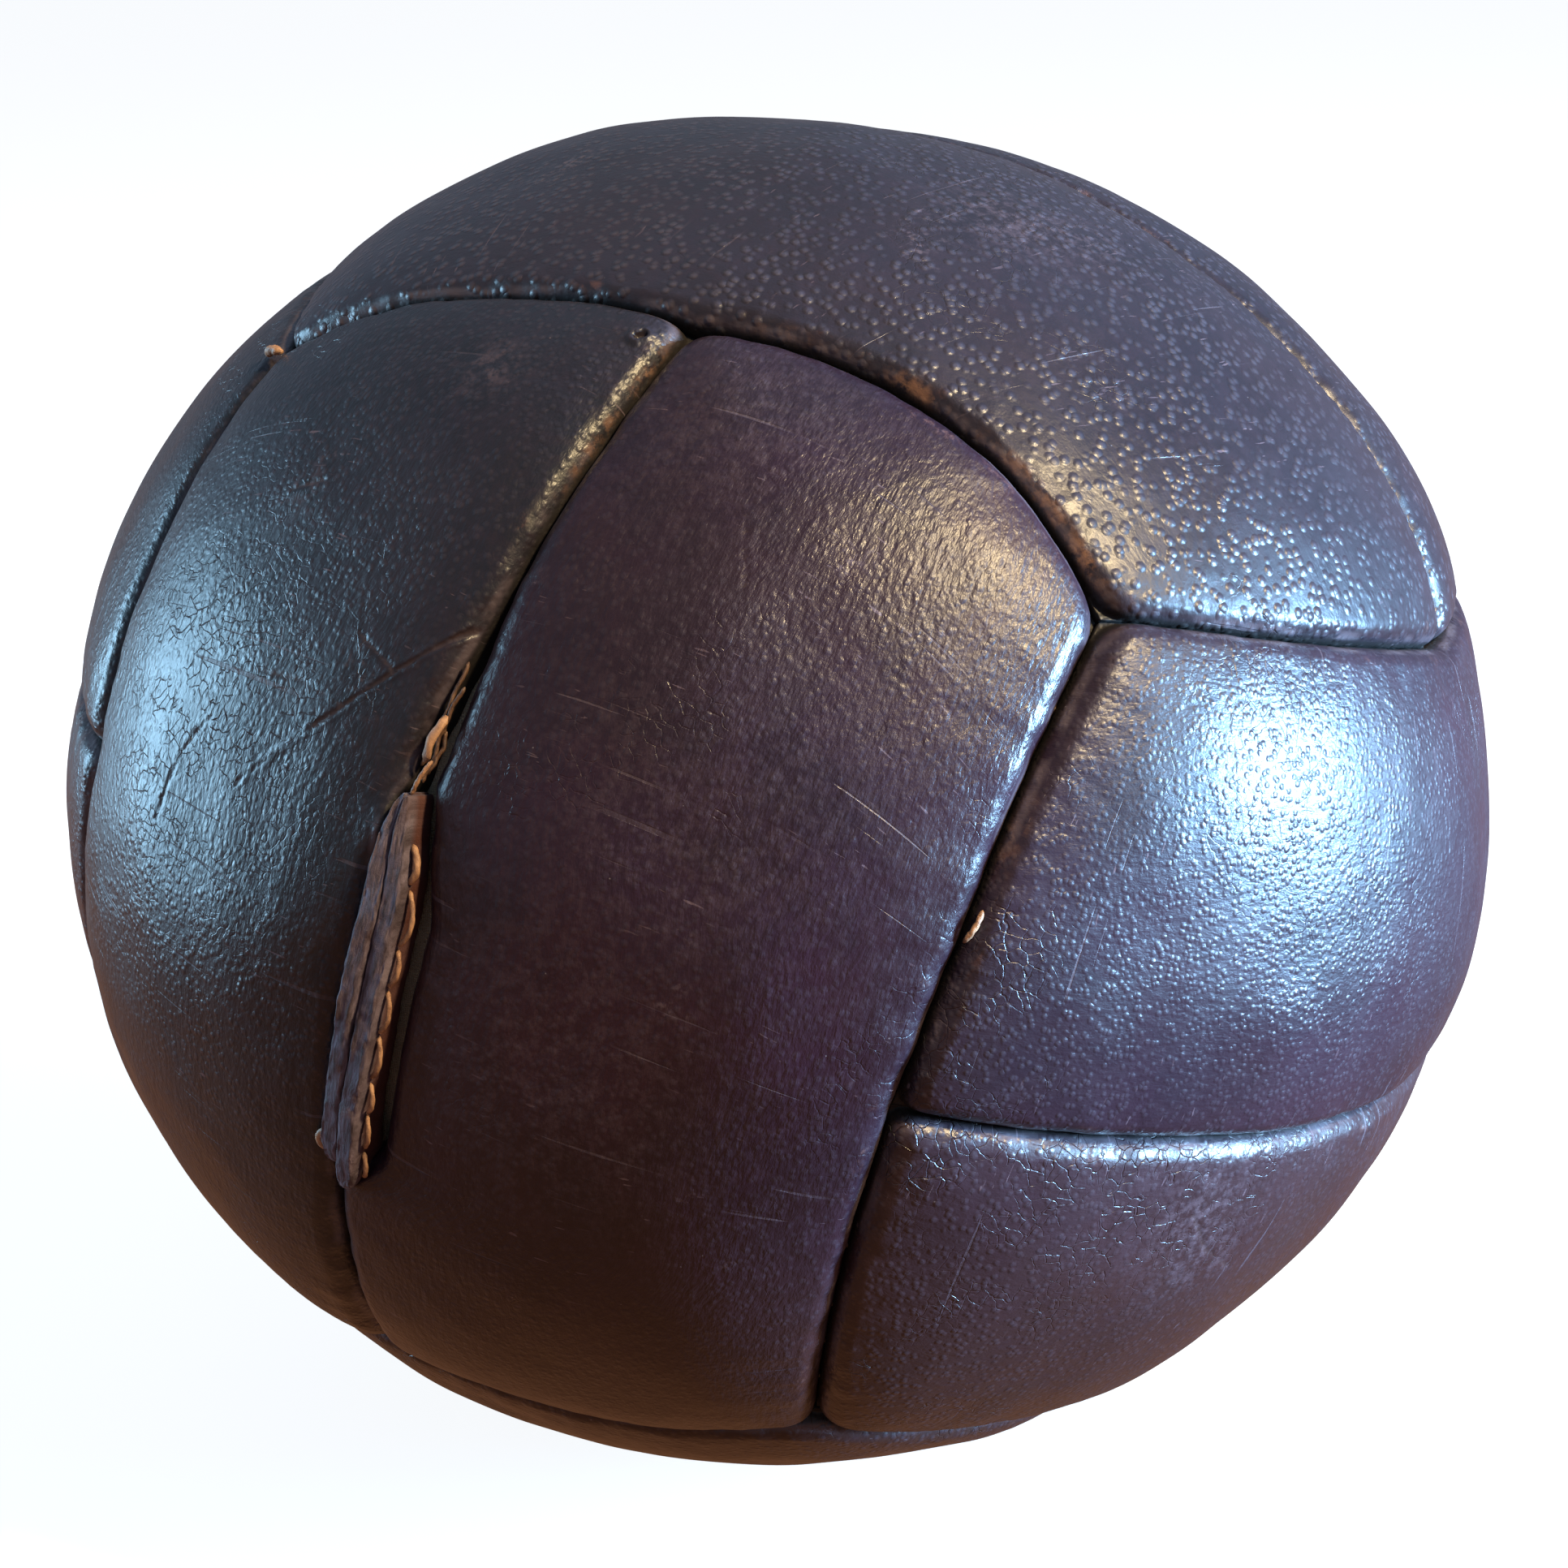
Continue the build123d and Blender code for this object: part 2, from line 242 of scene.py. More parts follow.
def line_distance(v, line):
    """Millimetres from each direction to a seam line, and how far along it in millimetres."""
    start, seg = line[:-1], np.diff(line, axis=0)
    length2 = (seg ** 2).sum(1)
    reach = np.concatenate([[0], np.cumsum(np.sqrt(length2))])
    best = np.full(len(v), 1e9)
    where = np.zeros(len(v))
    for k in range(len(seg)):
        f = np.clip(((v - start[k]) @ seg[k]) / length2[k], 0, 1)
        d = np.linalg.norm(v - (start[k] + f[:, None] * seg[k]), axis=1)
        nearer = d < best
        best[nearer] = d[nearer]
        where[nearer] = reach[k] + f[nearer] * math.sqrt(length2[k])
    return best * mean_radius, where * mean_radius


def soft_least(distances, k):
    """Smooth smallest of several distances, smaller still where two meet in a corner."""
    stack = np.stack(distances)
    least = stack.min(0)
    return least - k * np.log(np.exp(-(stack - least) / k).sum(0))


# Each panel's shoulder: how wide it rolls over and how far the seam draws it down
fullness = 0.7                                    # how far the skin stands above the smooth ball
shoulder = {"default": (3.6, 1.5), "panel_front_centre": (4.4, 1.7), "panel_front_left": (3.9, 1.6),
            "panel_top_front": (3.4, 1.3), "panel_right_lower": (3.9, 1.8),
            "panel_right_upper": (3.8, 1.5)}
corner_blend, shoulder_reach = 1.7, 8.0
shoulder_deep, lip_keeps = 1.05, 0.8              # the roll's depth, and how much of it the lip undoes
wear_at, wear_wide = 0.75, 1.6                    # the rubbed line: share of the shoulder, and its width
# Noise layers as height, lump width and shift: the stuffing's lumps, creases by the seams, uneven shoulders
lumps = ((1.1, 52.0, 0.4), (0.55, 24.0, 2.2), (0.16, 10.0, 5.2))
creases = ((0.35, 6.0, 9.1), (0.10, 2.4, 4.1))
crease_reach = 7.0
uneven = ((0.22, 17.0, 3.1), (0.10, 5.0, 1.7))
# Puckered edges: side number, place along it, length, rib pitch, rib height and reach
pucker_draw, pucker_wander = 1.6, 1.6
puckers = {
    "panel_right_upper": [(2, 40, 26, 4.4, 0.26, 3.5), (1, 60, 40, 6.2, 0.12, 6.0)],
    "panel_top_front": [(1, 120, 60, 6.6, 0.10, 3.5), (0, 60, 60, 3.6, 0.22, 4.0),
                        (3, 20, 30, 3.4, 0.32, 4.0)],
    "panel_front_left": [(2, 40, 30, 7.0, 0.05, 6.0), (0, 150, 60, 7.5, 0.10, 8.0)],
    "panel_front_centre": [(0, 104, 26, 2.7, 0.14, 6.0), (1, 60, 60, 8.5, 0.20, 8.0),
                           (1, 150, 60, 7.5, 0.16, 7.0)],
    "panel_right_lower": [(0, 60, 50, 7.8, 0.18, 5.0), (2, 20, 40, 6.5, 0.22, 6.0)],
}
default_puckers = [(0, 70, 60, 7.5, 0.20, 6.0), (1, 90, 70, 8.0, 0.22, 6.0)]

# Long cuts in the leather: panel, points as directions in the pattern, width and depth
cuts = [
    ("panel_front_left", [(0.935, -0.025, 0.36), (0.955, -0.09, 0.28), (0.967, -0.15, 0.20),
                          (0.965, -0.25, 0.07)], 0.34, 0.30),
    ("panel_front_left", [(0.967, -0.132, 0.218), (0.955, -0.21, 0.22), (0.935, -0.28, 0.20)], 0.34, 0.15),
    ("panel_front_left", [(0.955, -0.09, 0.28), (0.945, -0.16, 0.30)], 0.35, 0.2),
    ("panel_front_left", [(0.94, -0.33, 0.12), (0.925, -0.36, 0.05), (0.93, -0.37, -0.04)], 0.35, 0.2),
    ("panel_front_left", [(0.845, -0.33, 0.42), (0.84, -0.37, 0.39)], 0.5, 0.2),
    ("panel_front_left", [(0.700, -0.050, 0.712), (0.704, -0.056, 0.708)], 0.7, 0.9),
    ("panel_front_centre", [(0.80, 0.20, 0.58), (0.82, 0.24, 0.50)], 0.35, 0.15),
    ("panel_right_lower", [(0.45, 0.87, -0.10), (0.40, 0.90, -0.16), (0.33, 0.92, -0.20)], 0.5, 0.2),
    ("panel_top_front", [(0.25, 0.20, 0.947), (0.20, 0.26, 0.945)], 0.5, 0.15),
]

# Patches: rubbed bare to tan, chalky, or finely cracked; place in the pattern, spread in degrees
bare_spots = {"panel_top_front": [((0.607, 0.266, 0.749), 1.3, 1.0), ((0.575, 0.45, 0.68), 3.2, 0.8),
                                  ((0.571, 0.52, 0.63), 1.6, 1.0), ((0.62, 0.09, 0.775), 1.6, 0.25)],
              "panel_right_upper": [((0.714, 0.615, 0.335), 1.6, 0.35)],
              "panel_front_left": [((0.735, -0.02, 0.675), 2.0, 0.8), ((0.80, -0.02, 0.60), 3.0, 0.5)]}
bare_reach, bare_starts = {"default": 3.4, "panel_front_left": 1.9}, 0.8   # millimetres from the seam
chalk_spots = {"panel_front_left": [((0.764, -0.199, 0.613), 1.6, 0.6), ((0.845, -0.355, 0.4), 1.2, 0.6)],
               "panel_right_lower": [((0.445, 0.888, -0.112), 3.0, 0.9), ((0.40, 0.90, -0.17), 2.5, 0.7),
                                     ((0.50, 0.86, 0.02), 4.0, 0.4)],
               "panel_top_front": [((0.265, 0.181, 0.947), 3.5, 0.6), ((0.20, 0.26, 0.945), 2.5, 0.5)],
               "panel_front_centre": [((0.742, 0.156, 0.652), 5.0, 0.25), ((0.92, 0.30, 0.25), 7.0, 0.25),
                                      ((0.95, 0.25, -0.05), 8.0, 0.25)]}
crackle_spots = {"panel_front_left": [((0.936, -0.341, 0.091), 7.0, 1.0), ((0.90, -0.40, 0.20), 6.0, 0.8)],
                 "panel_right_lower": [((0.537, 0.843, 0.006), 9.0, 0.8)],
                 "panel_right_upper": [((0.438, 0.783, 0.443), 7.0, 0.3)]}


def spots(table, name, v):
    """Soft patches of one kind on one panel, from 0 to 1."""
    total = np.zeros(len(v))
    for place, spread, strength in table.get(name, ()):
        angle = np.degrees(np.arccos(np.clip(v @ lie(*place), -1, 1)))
        total = np.maximum(total, strength * np.exp(-0.5 * (angle / spread) ** 2))
    return total


def layered(p, layers, fold=False):
    """Noise layers added up; folded ones crease instead of swelling."""
    return sum(tall * (np.abs(noise(p, wide, shift)) if fold else noise(p, wide, shift))
               for tall, wide, shift in layers)


def skin_shape(name, v, sides):
    """Height of a panel's outer face above the smooth ball, distance to its seams, wear and cuts."""
    p = v * mean_radius
    found = [line_distance(v, line) for line in sides]
    away = [f[0] for f in found]
    if name in closing_sides:
        away[0] = np.maximum(away[0] - seam_pull(v, closing_sides[name]), 0)
    wide, proud = shoulder.get(name, shoulder["default"])
    near = np.maximum(soft_least(away, corner_blend), 0)
    wide = wide * (1 + layered(p, uneven))
    roll = np.clip(1 - near / wide, 0, 1)
    lip = np.zeros(len(v))
    if name == "panel_front_left":
        lip = np.exp(-((seam_angle(v) - lip_at) / lip_long) ** 2 - (away[0] / lip_reach) ** 2)
    round_off = 1 - np.sqrt(1 - np.minimum(roll, 0.999) ** 2)
    height = -wide * round_off * shoulder_deep * (1 - lip_keeps * lip)
    height += fullness - proud * np.exp(-near / shoulder_reach) + lip_lift * lip
    if name == "panel_front_centre":
        height -= dip_deep * np.exp(-((seam_angle(v) - dip_at) / dip_long) ** 2 - away[0] / dip_reach)
    height += layered(p, lumps)
    height -= np.exp(-near / crease_reach) * layered(p, creases, fold=True)
    for side, place, long, pitch, rib, reach in puckers.get(name, default_puckers):
        d, at = found[side]
        window = np.exp(-0.5 * ((at - place) / long) ** 2)
        wander = pucker_wander * noise(p, 14.0, 6.6)
        wave = 0.5 + 0.5 * np.cos(2 * np.pi * (at + wander) / pitch)
        height -= rib * window * wave * np.exp(-d / reach) * pucker_draw
    wear = np.exp(-((near - wide * wear_at) / wear_wide) ** 2) * (0.5 + 0.5 * noise(p, 9.0, 8.8))
    cut = np.zeros(len(v))
    for panel, points, broad, deep in cuts:
        if panel != name:
            continue
        line = np.array([lie(*q) for q in points])
        d = line_distance(v, line)[0] + 0.25 * noise(p, 2.5, 1.1)
        slit = np.exp(-(d / broad) ** 2)
        raised = np.exp(-((d - 1.6 * broad) / broad) ** 2)
        cut = np.maximum(cut, slit)
        height -= deep * slit - 0.5 * deep * raised
    return height, near, np.clip(wear, 0, 1), cut


def build_mesh(name, points, faces, floats=(), uv=None):
    """A smooth-shaded mesh object from arrays in millimetres."""
    mesh = bpy.data.meshes.new(name)
    mesh.from_pydata((np.asarray(points) / MM).tolist(), [], [tuple(map(int, f)) for f in faces])
    for key, values in floats:
        layer = mesh.attributes.new(key, "FLOAT", "POINT")
        layer.data.foreach_set("value", np.asarray(values, np.float32))
    if uv is not None:
        loops = np.zeros(len(mesh.loops), np.int32)
        mesh.loops.foreach_get("vertex_index", loops)
        layer = mesh.uv_layers.new(name="panel")
        layer.data.foreach_set("uv", np.asarray(uv, np.float32)[loops].ravel())
    mesh.polygons.foreach_set("use_smooth", [True] * len(mesh.polygons))
    mesh.validate()
    mesh.update()
    obj = bpy.data.objects.new(name, mesh)
    bpy.context.scene.collection.objects.link(obj)
    return obj


allowance = 8.0                                   # how deep the edges turn in
wall = 3.5
rim_gap = 0.12                                    # a hair's gap between neighbours
middle_crowd, cross_crowd = 0.45, 0.62            # how far the mesh crowds towards the seams
# The shell's rings behind the rim: depth, and share of the way in to the panel's heart
rings = ((1.2, 0), (allowance, 0), (allowance, 0.25), (allowance, 0.5), (allowance, 0.75))


def panel_object(name, kind, s, u, rows, columns):
    """One leather panel as a closed, puffed shell with rolled edges."""
    sides = panel_sides(kind, s, u)
    middle, outer, first, last = sides
    f, g = crowded(rows, middle_crowd), crowded(columns, cross_crowd)
    m, o = resample(middle, f), resample(outer, f)
    a, b = resample(first, g), resample(last, g)
    if name in closing_sides:
        m = unit(m + seam_across * (u * seam_pull(m, u) / mean_radius)[:, None])
    ff, gg = f[:, None, None], g[None, :, None]
    grid = ((1 - gg) * m[:, None] + gg * o[:, None] + (1 - ff) * a[None] + ff * b[None]
            - (1 - ff) * (1 - gg) * m[0] - (1 - ff) * gg * o[0]
            - ff * (1 - gg) * m[-1] - ff * gg * o[-1])
    v = unit(grid)
    heart = unit(v.mean((0, 1)))
    flat = v.reshape(-1, 3)
    rim_index = np.concatenate([np.arange(columns), np.arange(1, rows) * columns + columns - 1,
                                (rows - 1) * columns + np.arange(columns - 2, -1, -1),
                                np.arange(rows - 2, 0, -1) * columns])
    inward = unit(heart - flat[rim_index])
    flat[rim_index] = unit(flat[rim_index] + inward * (rim_gap / mean_radius))
    length = np.linalg.norm(np.diff(middle, axis=0), axis=1).sum() * mean_radius
    breadth = np.linalg.norm(np.diff(first, axis=0), axis=1).sum() * mean_radius
    uv = np.stack([np.broadcast_to(g[None, :] * breadth, (rows, columns)),
                   np.broadcast_to(f[:, None] * length, (rows, columns))], -1).reshape(-1, 2) / MM
    height, near, wear, cut = skin_shape(name, flat, sides)
    radius = skin_radius(flat)
    top = centre + flat * (radius + height)[:, None]
    top[:, 2] = np.maximum(top[:, 2], 0.0)
    index = np.arange(rows * columns).reshape(rows, columns)
    quads = np.stack([index[:-1, :-1], index[:-1, 1:], index[1:, 1:], index[1:, :-1]], -1).reshape(-1, 4)
    points, faces = [top], [quads]
    ring_v = flat[rim_index]
    count, n = rows * columns, len(rim_index)
    previous = rim_index
    least = radius[rim_index] + height[rim_index]
    nxt = np.roll(np.arange(n), -1)
    for depth, share in rings:
        w = unit(ring_v * (1 - share) + heart * share)
        r = skin_radius(w) - allowance
        if depth < allowance:
            r = np.minimum(least - 0.4, skin_radius(w) - depth - wall)
        points.append(centre + w * r[:, None])
        ring = np.arange(count, count + n)
        faces.append(np.stack([previous, ring, ring[nxt], previous[nxt]], -1))
        previous = ring
        count += n
    points.append((centre + heart * (skin_radius(heart) - allowance))[None])
    faces.append(np.stack([previous, np.full(n, count), previous[nxt]], -1))
    all_points = np.vstack(points)
    all_faces = [tuple(q) for block in faces for q in block.tolist()]
    pad = len(all_points) - rows * columns
    if np.dot(np.cross(v[1, 0] - v[0, 0], v[0, 1] - v[0, 0]), v[0, 0]) >= 0:
        all_faces = [q[::-1] for q in all_faces]
    bare_far = bare_reach.get(name, bare_reach["default"])
    layers = {"seam_mm": near, "wear": wear, "cut": cut,
              "bare": spots(bare_spots, name, flat) * step(-near, -bare_far, -bare_starts),
              "chalk": spots(chalk_spots, name, flat), "crackle": spots(crackle_spots, name, flat)}
    floats = [(key, np.concatenate([value, np.zeros(pad)])) for key, value in layers.items()]
    uv_all = np.vstack([uv, np.zeros((pad, 2))])
    obj = build_mesh(name + "_skin", all_points, all_faces, floats, uv_all)
    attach(obj, "root")
    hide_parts(name)
    return obj


# Each panel's place in the pattern, then its mesh's rows and columns
panels = {
    "panel_front_left": ("x", 1, -1, 540, 260), "panel_front_centre": ("x", 1, 1, 430, 210),
    "panel_right_upper": ("y", 1, 1, 330, 150), "panel_right_lower": ("y", 1, -1, 330, 150),
    "panel_top_front": ("z", 1, 1, 380, 190), "panel_top_back": ("z", 1, -1, 240, 110),
    "panel_left_upper": ("y", -1, 1, 280, 120), "panel_left_lower": ("y", -1, -1, 280, 120),
    "panel_back_left": ("x", -1, -1, 240, 110), "panel_back_right": ("x", -1, 1, 240, 110),
    "panel_base_front": ("z", -1, 1, 260, 120), "panel_base_back": ("z", -1, -1, 240, 110),
}
skins = {name: panel_object(name, *spec) for name, spec in panels.items()}


def closed_tube(grid):
    """Points and faces of a closed tube from its rings of points."""
    steps, around = grid.shape[:2]
    index = np.arange(steps * around).reshape(steps, around)
    ahead = np.roll(index, -1, axis=1)
    faces = np.stack([index[:-1], index[1:], ahead[1:], ahead[:-1]], -1).reshape(-1, 4).tolist()
    first, last = steps * around, steps * around + 1
    faces += [[first, i, j] for i, j in zip(index[0].tolist(), ahead[0].tolist())]
    faces += [[last, j, i] for i, j in zip(index[-1].tolist(), ahead[-1].tolist())]
    return np.vstack([grid.reshape(-1, 3), grid[0].mean(0), grid[-1].mean(0)]), faces


# ---- Closing strips: two cut edges of leather standing upright in the seam ----
surface_lift = 0.4                                # the front pair's skin beside the seam
leaf_steps, leaf_around = 300, 56
leaf_deep = 6.0                                   # how far each leaf reaches down into the seam
leaf_square = 0.30                                # its section: 1 is round, 0 is square
pinch_long, curl_long = 12.0, 5.0                 # the pinched top and the curled foot
gap_half = 0.03                                   # half the gap between the two leaves
leaf_start = strip_top + 0.8


def strip_object(name, side):
    """One upright leather leaf, with a fibrous cut top and worn, narrowed ends."""
    angle = np.linspace(leaf_start, strip_end[side], leaf_steps)
    mm = (leaf_start - angle) * math.radians(1) * mean_radius
    top_taper = np.clip(mm / pinch_long, 0, 1) ** 0.6
    low_taper = np.sqrt(np.clip(1 - ((mm - mm[-1] + curl_long) / curl_long).clip(0, 1) ** 2, 0, 1))
    wide = strip_thick * (0.15 + 0.85 * top_taper) * (0.25 + 0.75 * low_taper)
    proud = 0.9 + 0.9 * step(mm, 2, 22) + 0.35 * np.sin(mm / 9.0 + side)
    proud = proud * (0.2 + 0.8 * low_taper)
    turn = np.linspace(0, 2 * np.pi, leaf_around, endpoint=False)
    cx = np.sign(np.cos(turn)) * np.abs(np.cos(turn)) ** leaf_square
    cy = np.sign(np.sin(turn)) * np.abs(np.sin(turn)) ** leaf_square
    upper = np.clip(cy, 0, 1) ** 2
    points = []
    for i in range(leaf_steps):
        v = along(angle[i])
        base = centre + v * (skin_radius(v[None])[0] + surface_lift)
        tall = proud[i] + leaf_deep
        x = side * (0.05 + wide[i] / 2) + cx * wide[i] / 2
        y = proud[i] - tall / 2 + cy * tall / 2
        key = np.stack([np.full(leaf_around, mm[i]), x, y], -1)
        rough = 0.30 * noise(key * (0.22, 1.5, 1.0), 1.0, 2.0 + side)
        rough = rough + 0.16 * noise(key * (0.8, 3.2, 2.0), 1.0, 4.0)
        wave = 0.28 * noise(key * (0.09, 0.0, 0.0) + (0, side, 0), 1.0, 6.0)
        y = y + upper * rough
        x = x + wave * 1.2 + 0.12 * noise(key * (0.5, 0.6, 0.6), 1.0, 8.0)
        x = np.maximum(x, gap_half) if side > 0 else np.minimum(x, -gap_half)
        x = x + strip_shift(angle[i])
        points.append(base + v * y[:, None] + seam_across * x[:, None])
    grid = np.array(points)
    u = np.repeat(mm[:, None], leaf_around, 1)
    w = np.stack([cx * wide[i] / 2 + side * 2 for i in range(leaf_steps)])
    uv = np.vstack([np.stack([w, u], -1).reshape(-1, 2), np.zeros((2, 2))]) / MM
    floats = [("raw", np.concatenate([np.tile(upper, leaf_steps), [1, 1]]))]
    obj = build_mesh(name + "_leaf", *closed_tube(grid), floats, uv)
    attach(obj, "root")
    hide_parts(name)
    return obj


strips = [strip_object("closing_strip_left", -1), strip_object("closing_strip_right", 1)]


# ---- Thread: two twisted plies swept along a path ----
def thread_mesh(path, radius, flat=1.0, ply=3.4, around=14):
    """Points and faces of a twisted two-ply thread along a path in millimetres."""
    path = np.asarray(path, float)
    tangent = unit(np.gradient(path, axis=0))
    reach = np.concatenate([[0], np.cumsum(np.linalg.norm(np.diff(path, axis=0), axis=1))])
    side = unit(np.cross(tangent, unit(path - centre)))
    up = unit(np.cross(side, tangent))
    turn = np.linspace(0, 2 * np.pi, around, endpoint=False)
    points = []
    for i in range(len(path)):
        twist = 2 * np.pi * reach[i] / ply
        lobe = radius * (0.80 + 0.20 * np.abs(np.cos(turn - twist)))
        nearest_end = min(reach[i], reach[-1] - reach[i])
        taper = min(1.0, 0.35 + nearest_end / radius * 0.5)
        x, y = np.cos(turn) * lobe * taper, np.sin(turn) * lobe * taper * flat
        points.append(path[i] + side[i] * x[:, None] + up[i] * y[:, None])
    return closed_tube(np.array(points))


def joined(name, parts):
    """One object out of several threads."""
    points, faces, base = [], [], 0
    for p, f in parts:
        points.append(p)
        faces += [tuple(k + base for k in q) for q in f]
        base += len(p)
    return build_mesh(name, np.vstack(points), faces)


def beside_seam(angle, across, up):
    """Point at an angle along the closing seam, so far across it and above the skin."""
    v = along(angle)
    return (centre + v * (skin_radius(v[None])[0] + surface_lift + up)
            + seam_across * (across + strip_shift(angle)))


draws = np.random.default_rng(5)
degree_mm = math.radians(1) * mean_radius
# The eight loops from the top down: length and how far each bellies out to the right
loops = ((5.6, 1.9), (8.6, 1.8), (6.2, 1.6), (7.2, 1.7), (7.6, 1.7), (5.4, 1.4), (6.4, 1.3), (5.0, 1.1))
loop_thick, loop_flat, loop_ply = 0.44, 0.85, 4.6
first_thick = 0.62                                # the top loop is fatter and lies further in
first_in, others_in = 0.8, 0.98
loop_low, loop_rise = -0.75, 0.85                 # where a loop leaves the leather, and its arch
stitches = []
stitch_at = strip_top - 2.2
for k, (long, out) in enumerate(loops):
    thick, inset = (first_thick, first_in) if k == 0 else (loop_thick, others_in)
    f = np.linspace(0, 1, 34)
    arch = np.sin(np.pi * f) ** 0.8
    lean = draws.uniform(-0.12, 0.12)
    path = [beside_seam(stitch_at - long * t / degree_mm,
                        strip_thick * inset + 0.1 + out * a + lean * t,
                        loop_low + loop_rise * a) for t, a in zip(f, arch)]
    stitches.append(thread_mesh(path, thick, flat=loop_flat, ply=loop_ply))
    stitch_at -= (long + draws.uniform(0.5, 1.1)) / degree_mm
# The one loop that shows on the left, near the foot of the strips
left_loop = [beside_seam(-16.0 - 2.1 * t, -(strip_thick * 0.93 + 0.2 + 1.3 * math.sin(math.pi * t)),
                         -0.6 + 0.9 * math.sin(math.pi * t)) for t in np.linspace(0, 1, 30)]
stitches.append(thread_mesh(left_loop, 0.6, flat=loop_flat, ply=3.8))
# Loose strands of the old sewing in the gape above the strips: place across the seam, and depth
strands_lie = ((-0.7, -2.4), (0.5, -2.0), (0.0, -2.7), (0.8, -2.2))
loose = []
for k, (offset, deep) in enumerate(strands_lie):
    start, stop = 19.0 - 1.6 * k, 11.4 - 0.3 * k
    path = [beside_seam(start + (stop - start) * t,
                        offset + 0.35 * math.sin(5 * t + 2 * k) + 0.15 * math.sin(17 * t + k),
                        deep + 0.4 * math.sin(4 * t + 1.3 * k)) for t in np.linspace(0, 1, 60)]
    loose.append(thread_mesh(path, 0.36, ply=2.6, around=10))
# A frayed end, fatter and paler, lies over them
frayed = [beside_seam(15.2 - 3.4 * t, 0.2 - 0.5 * t + 0.1 * math.sin(9 * t),
                      -1.5 + 0.9 * math.sin(math.pi * t)) for t in np.linspace(0, 1, 40)]
stitches.append(thread_mesh(frayed, 0.80, flat=0.6, ply=7.0))
# A curl crosses the foot of the gape, over the strips' pinched tops
curl = [beside_seam(12.2 - 2.6 * t, 1.5 - 1.2 * t, -0.4 + 0.6 * math.sin(math.pi * t))
        for t in np.linspace(0, 1, 26)]
stitches.append(thread_mesh(curl, 0.38, ply=2.6))
closing = joined("closing_thread_stitches", stitches)
strands = joined("closing_thread_strands", loose)
for thread in (closing, strands):
    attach(thread, "root")
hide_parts("closing_thread")


def seam_bit(name, place, toward, long, lift, radius):
    """A short worn length of hidden sewing that has worked up into a seam."""
    v0, v1 = lie(*place), lie(*toward)
    path = []
    for t in np.linspace(0, 1, 24):
        v = unit(v0 + (v1 - v0) * (t - 0.5) * long)
        path.append(centre + v * (skin_radius(v[None])[0] + lift + 0.9 * math.sin(math.pi * t)))
    obj = joined(name, [thread_mesh(path, radius, ply=3.0)])
    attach(obj, "root")
    return obj


seam_bits = [seam_bit("seam_bit_left", (0.62, -0.622, 0.478), (0.60, -0.655, 0.46), 1.0, -0.4, 0.9),
             seam_bit("seam_bit_right", (0.763, 0.603, 0.232), (0.80, 0.585, 0.12), 0.35, -1.2, 0.5)]


